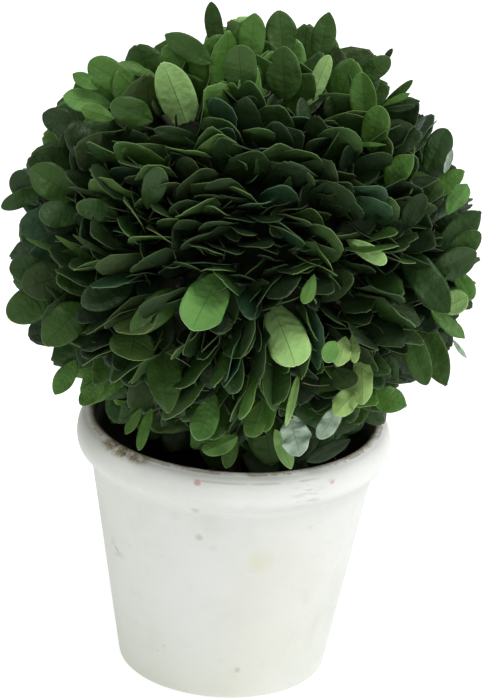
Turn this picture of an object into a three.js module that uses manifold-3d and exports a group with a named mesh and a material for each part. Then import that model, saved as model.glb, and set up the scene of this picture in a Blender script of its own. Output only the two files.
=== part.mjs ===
// A clipped ball of box leaves on a short hidden stem, standing in a whitewashed clay pot.
// Millimetres, +Z up, origin at the middle of the pot's flat underside. The front faces -Y.

import * as THREE from 'three';
import { mergeVertices } from 'three/addons/utils/BufferGeometryUtils.js';
import Module from 'manifold-3d';

// Driving sizes of the pot
const RIM_RADIUS = 50;
const RIM_INNER_RADIUS = 44.2;
const POT_HEIGHT = 84.7;
const BAND_HEIGHT = 13.7;
const BAND_BULGE = 6.5; // from the foot of the band up to where it is widest
const NECK_RADIUS = 45.2; // outside of the wall, right under the rim band
const FOOT_RADIUS = 33.5;
const FLOOR_THICKNESS = 6;
const INNER_FOOT_RADIUS = 28.5;
const EDGE_ROUND = 1.6;
const POT_SIDES = 48;

// Driving sizes of the filling and of the stem
const GAP = 0.3; // between pieces that touch
const FILL_TOP = 64; // the ground level inside the pot
const FILL_RIPPLE = 1.3;
const STEM_RADIUS = 5;
const STEM_TOP_RADIUS = 3.4;
const FLARE_RADIUS = 3.6; // added at ground level, between the stem and the ends of its root ridges
const STEM_TOP = 120;
const STEM_LEAN = 2.4;
const STEM_SIDES = 15;

// Driving sizes of the ball
const BALL_RADIUS = 74; // to the longest clipped leaf tips
const BALL_CENTRE = new THREE.Vector3(1, 0, 140.4);
const CORE_RADIUS = 51;
const CORE_DETAIL = 3;
const SPRIGS = 132;
const MOUTH_SPRIGS = 14; // more in a ring that hangs into the mouth of the pot
const MOUTH_ANGLE = 0.5; // of that ring, off straight down
const LEAF_ROOT = 48.6; // how far from the middle of the ball the leaves start, inside the core
const LEAF_OFFSET = 3.2; // how far beside their twig they start
const LEAF_WIDTH = 14;
const LEAF_THICKNESS = 0.8;
const LEAF_CUP = 1.3; // how far the middle of a leaf stands above its edge
const LEAF_CLEARANCE = 0.35; // from leaf to leaf
const POT_CLEARANCE = 0.6; // from a leaf to the pot, the filling and the stem
const TRIES = 9; // of a leaf that finds its space taken
const TWIG_RADIUS = 2.6;
const TWIG_RISE = 9; // of a twig's tip over the core
const SLIVER = 0.05; // details of the fused ball finer than this are smoothed away

// Leaves that the shears missed: the way from the middle of the ball to the tip, in millimetres.
const STRAY_TIPS = [
  new THREE.Vector3(-15.4, 28.6, 70.5),
  new THREE.Vector3(41.4, 24.3, 59.9),
  new THREE.Vector3(-77, 4, 9.7),
];

// The blades lie across this way: they turn their faces to the front and to the sky.
const FACING = new THREE.Vector3(0, -1, 0.7).normalize();

const GOLDEN_ANGLE = Math.PI * (3 - Math.sqrt(5));

const COLOURS = {
  whitewash: { color: 0xe4e4dc, roughness: 0.85, metalness: 0 },
  filling: { color: 0x2a2119, roughness: 1, metalness: 0 },
  bark: { color: 0x5b4a36, roughness: 0.9, metalness: 0 },
  leaf: { color: 0x2f5426, roughness: 0.55, metalness: 0 },
};

const wasm = await Module();
wasm.setup();

// A repeatable value from 0 to 1 for the numbered thing and the numbered question about it.
function chance(thing, question) {
  const wave = Math.sin(thing * 12.9898 + question * 78.233) * 43758.5453;
  return wave - Math.floor(wave);
}

// A value from -1 to 1, drawn the same way.
function swing(thing, question) {
  return 2 * chance(thing, question) - 1;
}

function solidOf(geometry) {
  const bare = geometry.clone();
  bare.deleteAttribute('normal');
  bare.deleteAttribute('uv');
  const merged = mergeVertices(bare, 1e-4);
  const mesh = new wasm.Mesh({
    numProp: 3,
    vertProperties: new Float32Array(merged.attributes.position.array),
    triVerts: new Uint32Array(merged.index.array),
  });
  return new wasm.Manifold(mesh);
}

function geometryOf(solid) {
  const mesh = solid.getMesh();
  const geometry = new THREE.BufferGeometry();
  geometry.setAttribute('position', new THREE.BufferAttribute(new Float32Array(mesh.vertProperties), 3));
  geometry.setIndex(new THREE.BufferAttribute(new Uint32Array(mesh.triVerts), 1));
  geometry.computeVertexNormals();
  return geometry;
}

function named(name, geometry, colour) {
  const mesh = new THREE.Mesh(geometry, new THREE.MeshStandardMaterial(COLOURS[colour]));
  mesh.name = name;
  return mesh;
}

// A solid of revolution about +Z from a profile of (radius, height) points, run up the outside.
function turned(profile, sides) {
  const geometry = new THREE.LatheGeometry(profile, sides);
  geometry.rotateX(Math.PI / 2);
  return geometry;
}

// Straight wall from the foot to the neck, a rim band that bulges and slopes in to its lip, and a
// thick floor.
function potProfile() {
  const bandFoot = POT_HEIGHT - BAND_HEIGHT;
  const wall = new THREE.Path();
  wall.moveTo(0, 0);
  wall.lineTo(FOOT_RADIUS - EDGE_ROUND, 0);
  wall.absarc(FOOT_RADIUS - EDGE_ROUND, EDGE_ROUND, EDGE_ROUND, -Math.PI / 2, 0, false);
  wall.lineTo(NECK_RADIUS, bandFoot - 1.2);
  wall.quadraticCurveTo(NECK_RADIUS + 0.6, bandFoot + 0.3, RIM_RADIUS - 2.2, bandFoot + 1.6);
  wall.quadraticCurveTo(RIM_RADIUS, bandFoot + 2.8, RIM_RADIUS, bandFoot + BAND_BULGE);
  wall.quadraticCurveTo(RIM_RADIUS, POT_HEIGHT - 2.2, RIM_RADIUS - 2.6, POT_HEIGHT - 1);
  wall.quadraticCurveTo(RIM_INNER_RADIUS + 1.6, POT_HEIGHT + 0.9, RIM_INNER_RADIUS, POT_HEIGHT - 2);
  wall.lineTo(INNER_FOOT_RADIUS, FLOOR_THICKNESS + EDGE_ROUND);
  wall.lineTo(INNER_FOOT_RADIUS - EDGE_ROUND, FLOOR_THICKNESS);
  wall.lineTo(0, FLOOR_THICKNESS);
  return wall.getPoints(4);
}

function potGeometry() {
  return turned(potProfile(), POT_SIDES);
}

// The radius of the pot's inner wall at a height.
function innerRadius(height) {
  const low = FLOOR_THICKNESS + EDGE_ROUND;
  const share = (height - low) / (POT_HEIGHT - 2 - low);
  return INNER_FOOT_RADIUS + share * (RIM_INNER_RADIUS - INNER_FOOT_RADIUS);
}

// The dark filling that the plant stands in: level where the stem meets it, rippled out to the wall.
function fillingGeometry() {
  const profile = [
    [0, FLOOR_THICKNESS + GAP],
    [INNER_FOOT_RADIUS - EDGE_ROUND - 2 * GAP, FLOOR_THICKNESS + GAP],
    [INNER_FOOT_RADIUS - 2 * GAP, FLOOR_THICKNESS + EDGE_ROUND],
    [innerRadius(FILL_TOP - 4) - 2 * GAP, FILL_TOP - 4],
    [37.5, FILL_TOP - 1.2],
    [31, FILL_TOP],
    [24, FILL_TOP],
    [17, FILL_TOP],
    [13, FILL_TOP],
    [0, FILL_TOP],
  ];
  const geometry = turned(profile.map(([r, z]) => new THREE.Vector2(r, z)), POT_SIDES);
  const places = geometry.attributes.position;
  for (let i = 0; i < places.count; i++) {
    const x = places.getX(i);
    const y = places.getY(i);
    const z = places.getZ(i);
    const out = Math.hypot(x, y);
    if (z < FILL_TOP - 2 || out < 14) continue;
    const ripple = Math.sin(x * 0.31 + 1.3) * Math.cos(y * 0.27) + 0.6 * Math.sin(x * 0.7 + y * 0.53);
    places.setZ(i, z + FILL_RIPPLE * ripple * 0.6);
  }
  return geometry;
}

// A limb is rings round a leaning line. Its radius comes from the share of its length and the turn.
function limbGeometry(line, radiusAt, sides, rings) {
  const places = [];
  const faces = [];
  for (let j = 0; j <= rings; j++) {
    const share = j / rings;
    const centre = line(share);
    for (let k = 0; k < sides; k++) {
      const turn = (2 * Math.PI * k) / sides;
      const radius = radiusAt(share, turn);
      places.push(centre.x + radius * Math.cos(turn), centre.y + radius * Math.sin(turn), centre.z);
    }
  }
  for (let j = 0; j < rings; j++) {
    for (let k = 0; k < sides; k++) {
      const a = j * sides + k;
      const b = j * sides + ((k + 1) % sides);
      faces.push(a, b, b + sides, a, b + sides, a + sides);
    }
  }
  const foot = places.length / 3;
  places.push(...line(0).toArray(), ...line(1).toArray());
  const last = rings * sides;
  for (let k = 0; k < sides; k++) {
    const next = (k + 1) % sides;
    faces.push(foot, next, k, foot + 1, last + k, last + next);
  }
  const geometry = new THREE.BufferGeometry();
  geometry.setAttribute('position', new THREE.Float32BufferAttribute(places, 3));
  geometry.setIndex(faces);
  return geometry;
}

// The stem tapers from its root flare, a star of five low ridges, to its tip inside the ball.
// Grown makes it larger all round, for the socket that keeps clear of it.
function stemGeometry(grown) {
  const foot = FILL_TOP + GAP;
  const line = (share) => new THREE.Vector3(
    STEM_LEAN * Math.sin(share * 2.2),
    0.4 * STEM_LEAN * Math.sin(share * 3.1),
    foot + share * (STEM_TOP - foot) + (share === 1 ? grown : 0),
  );
  const radiusAt = (share, turn) => {
    const flare = Math.exp(-share * 9) * (FLARE_RADIUS + 1.4 * Math.cos(5 * turn + 0.6));
    return STEM_RADIUS + share * (STEM_TOP_RADIUS - STEM_RADIUS) + flare + grown;
  };
  return limbGeometry(line, radiusAt, STEM_SIDES, 14);
}

// A thin leaf with a blunt tip: its edge runs root, shoulder, tip, tip, shoulder, and a point above
// and one below the middle close it, so that it is cupped towards its underside.
function leafGeometry(root, along, face, length, width) {
  const across = new THREE.Vector3().crossVectors(face, along).normalize();
  const edge = [
    [0, 0, 0],
    [0.55, 0.5, 0],
    [1, 0.24, -0.5],
    [1, -0.24, -0.5],
    [0.55, -0.5, 0],
  ];
  const put = (share, side, rise) => root.clone()
    .addScaledVector(along, share * length)
    .addScaledVector(across, side * width)
    .addScaledVector(face, rise);
  const points = edge.map(([share, side, droop]) => put(share, side, droop * LEAF_CUP));
  points.push(put(0.6, 0, LEAF_CUP + LEAF_THICKNESS / 2), put(0.6, 0, LEAF_CUP - LEAF_THICKNESS / 2));
  const faces = [];
  for (let k = 0; k < 5; k++) {
    const next = (k + 1) % 5;
    faces.push(5, next, k, 6, k, next);
  }
  const geometry = new THREE.BufferGeometry();
  geometry.setAttribute('position', new THREE.Float32BufferAttribute(points.flatMap((p) => p.toArray()), 3));
  geometry.setIndex(faces);
  return geometry;
}

// A three-sided twig, from its foot in the core out to its tip.
function twigGeometry(foot, tip, radius) {
  const length = foot.distanceTo(tip);
  const geometry = new THREE.ConeGeometry(radius, length, 3, 1);
  geometry.translate(0, length / 2, 0);
  const way = tip.clone().sub(foot).normalize();
  geometry.applyQuaternion(new THREE.Quaternion().setFromUnitVectors(new THREE.Vector3(0, 1, 0), way));
  geometry.translate(foot.x, foot.y, foot.z);
  return geometry;
}

// Sprigs stand on the ball along a golden spiral, each a little out of place, and the last ones
// in the ring above the mouth of the pot.
function sprigWay(i) {
  const inMouth = i >= SPRIGS;
  const height = inMouth ? -Math.cos(MOUTH_ANGLE) : 1 - (2 * i + 1) / SPRIGS;
  const ring = Math.sqrt(1 - height * height);
  const turn = inMouth ? (2 * Math.PI * i) / MOUTH_SPRIGS : i * GOLDEN_ANGLE;
  const jitter = new THREE.Vector3(swing(i, 1), swing(i, 2), swing(i, 3)).multiplyScalar(0.07);
  return new THREE.Vector3(ring * Math.cos(turn), ring * Math.sin(turn), height).add(jitter).normalize();
}

// How long a leaf is that leans off its twig by an angle and ends at a radius.
function leafLength(lean, tipRadius) {
  const rise = LEAF_ROOT * Math.cos(lean) + LEAF_OFFSET * Math.sin(lean);
  return Math.sqrt(rise ** 2 - LEAF_ROOT ** 2 - LEAF_OFFSET ** 2 + tipRadius ** 2) - rise;
}

// The unit vector closest to a wanted one among those square to an axis.
function squareTo(axis, wanted) {
  return wanted.clone().addScaledVector(axis, -wanted.dot(axis)).normalize();
}

// A leaf that starts beside the twig with this way, leans off it and ends at the given radius.
function sprigLeaf(way, turn, lean, roll, tipRadius, width) {
  const outwards = squareTo(way, FACING).applyAxisAngle(way, turn);
  const along = way.clone().multiplyScalar(Math.cos(lean)).addScaledVector(outwards, Math.sin(lean));
  const face = way.clone().multiplyScalar(Math.sin(lean)).addScaledVector(outwards, -Math.cos(lean));
  face.applyAxisAngle(along, roll);
  const root = BALL_CENTRE.clone()
    .addScaledVector(way, LEAF_ROOT)
    .addScaledVector(outwards, LEAF_OFFSET);
  return leafGeometry(root, along, face, leafLength(lean, tipRadius), width);
}

// The leaves of a sprig leave it in opposite pairs. The second pair is turned and leans more.
// A leaf that finds its space taken is drawn again, a little smaller each time.
function leafDraw(i, pair, side, attempt) {
  const draw = i * 10 + pair * 2 + side + attempt * 0.37;
  const turn = side * Math.PI + 0.5 * swing(i, 5) + pair * 1.35 + 0.45 * swing(draw, 6);
  const lean = 0.26 + 0.42 * pair + 0.16 * swing(draw, 7);
  const tipRadius = BALL_RADIUS - 2.2 * chance(draw, 10) - 2 * pair - 0.8 * attempt;
  const width = LEAF_WIDTH * (1 + 0.12 * swing(draw, 9) - 0.05 * attempt);
  return sprigLeaf(sprigWay(i), turn, lean, 0.5 * swing(draw, 8), tipRadius, width);
}

// One mass: a core with twigs and leaves fused to it. A leaf that would come too close to another,
// to the pot, to the filling or to the stem is skipped, and the core is cut clear of the stem.
function ballGeometry(pot, filling) {
  const limits = [pot, filling, stemGeometry(0)].map(solidOf);
  const placed = [];

  function place(geometry) {
    geometry.computeBoundingSphere();
    const sphere = geometry.boundingSphere;
    const solid = solidOf(geometry);
    if (limits.some((limit) => limit.minGap(solid, 1) < POT_CLEARANCE)) return false;
    const near = placed.filter((other) => other.sphere.intersectsSphere(sphere));
    if (near.some((other) => other.solid.minGap(solid, 1) < LEAF_CLEARANCE)) return false;
    placed.push({ solid, sphere });
    return true;
  }

  for (let i = 0; i < SPRIGS + MOUTH_SPRIGS; i++) {
    const foot = BALL_CENTRE.clone().addScaledVector(sprigWay(i), CORE_RADIUS - 5);
    const tip = BALL_CENTRE.clone().addScaledVector(sprigWay(i), CORE_RADIUS + TWIG_RISE);
    place(twigGeometry(foot, tip, TWIG_RADIUS));
  }
  for (const tip of STRAY_TIPS) {
    place(sprigLeaf(tip.clone().normalize(), 0, 0.05, 0, tip.length(), LEAF_WIDTH));
  }
  for (let pair = 0; pair < 2; pair++) {
    for (let i = 0; i < SPRIGS + MOUTH_SPRIGS; i++) {
      for (let side = 0; side < 2; side++) {
        for (let attempt = 0; attempt < TRIES; attempt++) {
          if (place(leafDraw(i, pair, side, attempt))) break;
        }
      }
    }
  }

  const core = new THREE.IcosahedronGeometry(CORE_RADIUS, CORE_DETAIL);
  core.translate(...BALL_CENTRE.toArray());
  const fused = wasm.Manifold.union([solidOf(core), ...placed.map((piece) => piece.solid)]);
  const ball = fused.subtract(solidOf(stemGeometry(GAP))).simplify(SLIVER);
  return geometryOf(ball);
}

const pot = potGeometry();
const filling = fillingGeometry();
const plant = new THREE.Group();
plant.add(
  named('pot', pot, 'whitewash'),
  named('planting_filling', filling, 'filling'),
  named('stem', stemGeometry(0), 'bark'),
  named('leaf_ball', ballGeometry(pot, filling), 'leaf'),
);

export default plant;
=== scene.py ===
import math
from collections import namedtuple

import bpy
import numpy as np
from mathutils import Matrix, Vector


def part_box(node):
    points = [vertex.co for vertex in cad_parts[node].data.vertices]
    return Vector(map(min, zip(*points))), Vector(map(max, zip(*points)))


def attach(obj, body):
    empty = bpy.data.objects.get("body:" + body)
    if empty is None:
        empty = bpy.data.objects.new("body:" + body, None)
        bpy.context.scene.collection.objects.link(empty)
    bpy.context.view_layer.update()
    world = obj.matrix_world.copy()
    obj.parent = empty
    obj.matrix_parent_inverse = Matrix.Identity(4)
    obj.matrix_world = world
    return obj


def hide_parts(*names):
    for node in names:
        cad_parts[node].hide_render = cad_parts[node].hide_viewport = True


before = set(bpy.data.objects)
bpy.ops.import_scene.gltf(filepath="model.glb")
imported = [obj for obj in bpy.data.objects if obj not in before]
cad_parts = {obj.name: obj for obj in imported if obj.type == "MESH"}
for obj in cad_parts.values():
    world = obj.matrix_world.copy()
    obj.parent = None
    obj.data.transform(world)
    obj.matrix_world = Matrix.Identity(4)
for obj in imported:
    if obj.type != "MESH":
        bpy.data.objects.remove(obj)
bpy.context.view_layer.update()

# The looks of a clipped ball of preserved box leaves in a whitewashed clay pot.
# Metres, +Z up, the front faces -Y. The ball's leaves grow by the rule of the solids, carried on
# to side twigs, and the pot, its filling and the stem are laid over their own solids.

MM = 0.001

# The photograph's view
ELEVATION = math.radians(22.07)
ROLL = math.radians(3.35)
DISTANCE = 1.1
AIM = np.array([2.0, 0.0, 106.5]) * MM
LENS = 179.7  # millimetres, as the sensor's size
SENSOR = 36  # along the picture's height
RIGHT = np.array([1.0, 0.0, 0.0])
VIEWWARD = np.array([0, -math.cos(ELEVATION), math.sin(ELEVATION)])
SKYWARD = np.cross(VIEWWARD, RIGHT)
UP = np.array([0.0, 0.0, 1.0])
CAMERA_PLACE = AIM + DISTANCE * VIEWWARD

# The studio
KEY_LIGHT_PLACE = np.array([2.0, -0.8, 3.4])
KEY_LIGHT_SIZE = 2.0
KEY_LIGHT_POWER = 84
SKY_STRENGTH = 0.645
FLOOR_HALF = 30.0
FLOOR_COLOUR = (0.88, 0.88, 0.88, 1.0)
FLOOR_GLOW = 0.5

# Sizes of the ball, as in the solids, but that it is clipped 1.7 mm closer
CENTRE = np.array([1.0, 0.0, 140.4]) * MM
BALL_RADIUS = 72.3 * MM
CORE_RADIUS = 51 * MM
SPRIGS = 132
MOUTH_SPRIGS = 14
MOUTH_ANGLE = 0.5
GOLDEN_ANGLE = math.pi * (3 - math.sqrt(5))

# Sizes of the leaves and twigs
SIDE_TWIGS = 3
SIDE_SPREAD = 0.13
LEAF_LENGTH = 24.5 * MM
LEAF_RATIO = 0.48
LEAF_THICKNESS = 0.28 * MM
PAIR_ANGLES = np.array([0.3, 0.66])
PAIR_DEPTHS = np.array([0.0, 5.5]) * MM
INNER_LEAVES = 700
INNER_REACH = 60 * MM
STALK_STEP = 3  # one dry stalk to this many side twigs
TURNED_OVER = 0.14  # the share of leaves that show their underside
THINNED = 0.32  # the share of leaves that are left out at the outline

# What the things of each kind are numbered from, so that each kind draws its own chances
SIDE_TWIG_NUMBERS = 1000
LEAF_NUMBERS = 5000
STAND_OUT_NUMBERS = 20000
INNER_LEAF_NUMBERS = 40000
STALK_NUMBERS = 900

# Sizes of the pot in millimetres, as in the solids, but that the lip's inner edge is 0.9 higher
POT_HEIGHT = 84.7
RIM_RADIUS = 50
RIM_INNER_RADIUS = 44.2
LIP_DROP = 1.1  # from the top down to where the inner wall ends and the lip begins
BAND_HEIGHT = 13.7
BAND_BULGE = 6.5  # from the foot of the band up to where it is widest
NECK_RADIUS = 45.2
FOOT_RADIUS = 33.5
FLOOR_THICKNESS = 6
INNER_FOOT_RADIUS = 28.5
FILL_TOP = 64
POT_SIDES = 180


def chance(thing, question):
    """A repeatable value from 0 to 1 for each numbered thing: the fraction of a large sine. The
    number of a question keeps its answers apart from those to other questions."""
    wave = np.sin(np.asarray(thing, float) * 12.9898 + question * 78.233) * 43758.5453
    return wave - np.floor(wave)


def swing(thing, question):
    """The same, from -1 to 1."""
    return 2 * chance(thing, question) - 1


def unit(v):
    return v / np.linalg.norm(v, axis=-1, keepdims=True)


def dot(a, b):
    return (a * b).sum(-1, keepdims=True)


def square_to(axis, wanted):
    """The unit vectors closest to the wanted ones among those square to an axis."""
    return unit(wanted - dot(wanted, axis) * axis)


def turned(v, axis, angle):
    """v turned about a unit axis."""
    angle = np.asarray(angle)[..., None]
    c, s = np.cos(angle), np.sin(angle)
    return v * c + np.cross(axis, v) * s + axis * dot(axis, v) * (1 - c)


def beside(way):
    """Unit vectors square to some ways: upwards, or to the right of a way that is nearly upright."""
    return square_to(way, np.where(np.abs(way[:, 2:]) > 0.9, RIGHT, UP))


def circle(around):
    """Equal angles round a circle."""
    return 2 * math.pi * np.arange(around) / around


def grid(x, y, z):
    """The points whose coordinates are three arrays that broadcast together."""
    return np.stack(np.broadcast_arrays(x, y, z), -1)


def way_at(turn, height):
    """The unit vectors at an angle round the upright axis and a height from -1 to 1."""
    ring = np.sqrt(1 - height**2)
    return grid(ring * np.cos(turn), ring * np.sin(turn), height)


def ease(x, low, high):
    """0 up to the low value, 1 from the high one on, and smooth between them."""
    x = np.clip((x - low) / (high - low), 0, 1)
    return x * x * (3 - 2 * x)


# Materials


WHITE = (1.0, 1.0, 1.0, 1.0)
# The green that tints a leaf's gloss
LEAF_SHEEN = (0.85, 1.0, 0.8, 1.0)


def srgb(r, g, b):
    """A linear colour from one given as screen values of 0 to 255."""
    c = np.array([r, g, b]) / 255
    c = np.where(c <= 0.04045, c / 12.92, ((c + 0.055) / 1.055) ** 2.4)
    return (*c, 1.0)


def set_inputs(tree, node, inputs):
    """Links each of a node's inputs to an output, or sets it to a plain value."""
    for name, value in inputs.items():
        if isinstance(value, bpy.types.NodeSocket):
            tree.links.new(value, node.inputs[name])
        else:
            node.inputs[name].default_value = value


def add_node(tree, kind, inputs, **settings):
    node = tree.nodes.new("ShaderNode" + kind)
    for name, value in settings.items():
        setattr(node, name, value)
    set_inputs(tree, node, inputs)
    return node


def node_material(name, inputs):
    """A material, its node tree, and its shader with some inputs set."""
    material = bpy.data.materials.new(name)
    material.use_nodes = True
    tree = material.node_tree
    shader = tree.nodes["Principled BSDF"]
    set_inputs(tree, shader, inputs)
    return material, tree, shader


def add_relief(tree, shader, height, strength, depth):
    """Bumps from a height that a node puts out."""
    bump = add_node(tree, "Bump", {"Strength": strength, "Distance": depth, "Height": height})
    tree.links.new(bump.outputs["Normal"], shader.inputs["Normal"])


def add_grain(tree, shader, scale, strength, depth, detail=4.0):
    """Fine bumps from a noise in object coordinates. Returns the noise."""
    place = add_node(tree, "TexCoord", {}).outputs["Object"]
    noise = add_node(tree, "TexNoise", {"Vector": place, "Scale": scale, "Detail": detail})
    add_relief(tree, shader, noise.outputs["Fac"], strength, depth)
    return noise.outputs["Fac"]


def plain_material(name, colour, roughness, grain, specular=0.5, sheen=WHITE):
    """One colour with a grain, which is given as add_grain takes it."""
    inputs = {"Base Color": srgb(*colour), "Roughness": roughness}
    inputs |= {"Specular IOR Level": specular, "Specular Tint": sheen}
    material, tree, shader = node_material(name, inputs)
    add_grain(tree, shader, *grain)
    return material


def mottled_material(name, colours, span, roughness, grain, specular=0.5):
    """Two colours mixed by the grain's noise. The span holds the noise's values at which each
    colour is pure."""
    inputs = {"Roughness": roughness, "Specular IOR Level": specular}
    material, tree, shader = node_material(name, inputs)
    ramp = add_node(tree, "ValToRGB", {"Fac": add_grain(tree, shader, *grain)})
    for stop, position, colour in zip(ramp.color_ramp.elements, span, colours):
        stop.position = position
        stop.color = srgb(*colour)
    tree.links.new(ramp.outputs["Color"], shader.inputs["Base Color"])
    return material


# Each tone: upper side, underside, edge, midrib
TONES = {
    "deep": [(27, 42, 22), (40, 58, 32), (66, 86, 52), (20, 32, 16)],
    "shade": [(36, 55, 27), (52, 69, 38), (80, 98, 60), (28, 42, 21)],
    "mid": [(42, 68, 29), (57, 83, 41), (100, 124, 74), (33, 55, 23)],
    "teal": [(33, 59, 36), (50, 78, 52), (84, 112, 82), (25, 49, 30)],
    "olive": [(54, 73, 33), (70, 88, 47), (102, 118, 70), (43, 58, 26)],
    "moss": [(52, 81, 31), (68, 95, 44), (108, 132, 78), (42, 64, 24)],
    "fresh": [(72, 110, 44), (88, 124, 60), (122, 152, 86), (56, 89, 35)],
    "lime": [(96, 138, 66), (98, 143, 72), (160, 196, 146), (74, 111, 51)],
    "pale": [(152, 192, 112), (166, 208, 128), (196, 224, 164), (118, 154, 84)],
    "straw": [(126, 158, 88), (150, 182, 108), (170, 194, 134), (104, 128, 70)],
    "silver": [(168, 190, 166), (182, 203, 183), (204, 218, 202), (136, 155, 130)],
}
TONE_NAMES = list(TONES)


def tone_numbers(names):
    return np.array([TONE_NAMES.index(name) for name in names])


LIGHT_TONES = tone_numbers(["lime", "pale", "straw", "silver"])
DRY_TONES = tone_numbers(["straw", "silver"])
# How each part of a leaf looks: roughness, gloss, and the strength of its relief
LEAF_SURFACES = {
    "upper": (0.42, 0.3, 0.9),
    "under": (0.58, 0.22, 0.9),
    "edge": (0.7, 0.2, 0.1),
    "midrib": (0.55, 0.3, 0.1),
}


def tone_materials(tone):
    materials = []
    for (part, (roughness, gloss, relief)), colour in zip(LEAF_SURFACES.items(), TONES[tone]):
        grain = (300, relief, 0.9 * MM, 5.0)
        materials.append(plain_material(f"leaf_{tone}_{part}", colour, roughness, grain, gloss, LEAF_SHEEN))
    return materials


# Meshes


def tube_faces(tubes, rings, around):
    """Faces of closed tubes of rings of vertices: quads round the sides, then one face on each end."""
    corner = np.arange(tubes * rings * around).reshape(tubes, rings, around)
    a, b = corner[:, :-1], np.roll(corner, -1, 2)[:, :-1]
    sides = np.stack([a, b, b + around, a + around], -1).reshape(-1, 4)
    return sides, corner[:, 0, ::-1], corner[:, -1]


def add_object(name, data):
    thing = bpy.data.objects.new(name, data)
    bpy.context.collection.objects.link(thing)
    return thing


def add_piece(name, node, points, faces, materials, slots, smooth):
    """A mesh object that rides on the root and stands for a node, whose solid it hides. It has a
    material slot and smooth shading or none for each face."""
    mesh = bpy.data.meshes.new(name)
    mesh.from_pydata(points.reshape(-1, 3).tolist(), [], faces)
    for material in materials:
        mesh.materials.append(material)
    mesh.polygons.foreach_set("material_index", np.asarray(slots, np.int32))
    mesh.polygons.foreach_set("use_smooth", np.asarray(smooth, bool))
    mesh.update()
    piece = add_object(name, mesh)
    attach(piece, "root")
    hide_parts(node)


def add_tubes(name, node, points, material):
    """Closed tubes with flat ends. points holds tube, ring, place around, xyz."""
    tubes, rings, around, _ = points.shape
    sides, starts, ends = tube_faces(tubes, rings, around)
    faces = sides.tolist() + starts.tolist() + ends.tolist()
    smooth = [True] * len(sides) + [False] * (2 * tubes)
    add_piece(name, node, points, faces, [material], [0] * len(faces), smooth)


# The leaves: where each one is


def sprig_ways():
    """Main twigs on a golden spiral, each a little out of place, then a ring over the pot's mouth."""
    i = np.arange(SPRIGS + MOUTH_SPRIGS)
    in_mouth = i >= SPRIGS
    height = np.where(in_mouth, -math.cos(MOUTH_ANGLE), 1 - (2 * i + 1) / SPRIGS)
    turn = np.where(in_mouth, 2 * math.pi * i / MOUTH_SPRIGS, i * GOLDEN_ANGLE)
    jitter = 0.07 * np.stack([swing(i, 1), swing(i, 2), swing(i, 3)], -1)
    return unit(way_at(turn, height) + jitter)


# On the lower front the blades stand edge on, in a fan that opens downwards from this point,
# given as shares of the ball's radius to the right and up in the view.
FAN = np.array([0.26, -0.04])
# How far the leaves there are combed away from the point, as a share of their own way.
COMB = 0.5


def view_shares(way):
    return way @ RIGHT, way @ SKYWARD, way @ VIEWWARD


def fan_weight(way):
    """1 on the lower front, fading to 0 at the fan point's level, the outline and behind."""
    right, rise, near = view_shares(way)
    inner = 1 - ease(np.hypot(right, rise), 0.6, 0.9)
    return ease(FAN[1] - rise, -0.05, 0.15) * inner * (near > 0)


def away_from_fan(way):
    """The unit vectors in the view's plane that point away from the fan point."""
    right, rise, _ = view_shares(way)
    return unit((right - FAN[0])[:, None] * RIGHT + (rise - FAN[1])[:, None] * SKYWARD)


def blade_normals(way):
    """The side that the blades on a twig turn their faces to, square to the twig: the sky in the
    middle of the front, the viewer near the outline, between the two on the right, and round the
    fan point on the lower front."""
    right, rise, near = view_shares(way)
    rim = ease(np.hypot(0.84 * right, 1.12 * rise), 0.5, 0.85) * ease(near, -0.5, -0.1)
    rim *= 1 - 0.5 * ease(right, 0.3, 0.8) * (1 - ease(np.abs(rise - 0.2), 0.3, 0.6))
    base = square_to(way, SKYWARD * (1 - rim)[:, None] + VIEWWARD * rim[:, None])
    fan = square_to(way, np.cross(away_from_fan(way), VIEWWARD))
    fan *= np.sign(dot(fan, base))
    weight = fan_weight(way)[:, None]
    return square_to(way, base * (1 - weight) + fan * weight)


# Where the clipped ball is out of round: the way in the view (right, up, towards the viewer), how
# far in its surface lies in millimetres, and the angle the dent fades over.
DENTS = [
    (-0.38, -0.9, 0.2, 14, 0.42),
    (0.7, -0.7, 0.1, 7, 0.4),
    (-0.88, -0.48, 0, 10, 0.2),
    (-0.4, 0.92, 0, 8.5, 0.26),
    (0.67, 0.74, 0, 19.5, 0.21),
    (0.45, 0.89, 0, 5, 0.15),
    (-0.1, 0.99, 0, 13, 0.16),
    (-0.06, 0.97, -0.25, 16, 0.18),
    (0.3, 0.95, 0, -3, 0.16),
    (-0.97, -0.22, 0, -4.5, 0.2),
    (0.98, -0.2, 0, -3, 0.2),
    (-0.74, 0.67, 0, -3, 0.26),
    (-0.99, 0.1, 0, -2.5, 0.4),
]


def surface_radius(way):
    """The clipped surface: the ball's radius less each dent, which fades out smoothly with the
    angle from its middle."""
    radius = np.full(len(way), BALL_RADIUS)
    for *middle, depth, spread in DENTS:
        middle = unit(np.array(middle)) @ np.array([RIGHT, SKYWARD, VIEWWARD])
        angle = np.arccos(np.clip(way @ middle, -1, 1))
        radius -= depth * MM * (1 - ease(angle, 0.0, 1.6 * spread))
    return radius


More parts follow.
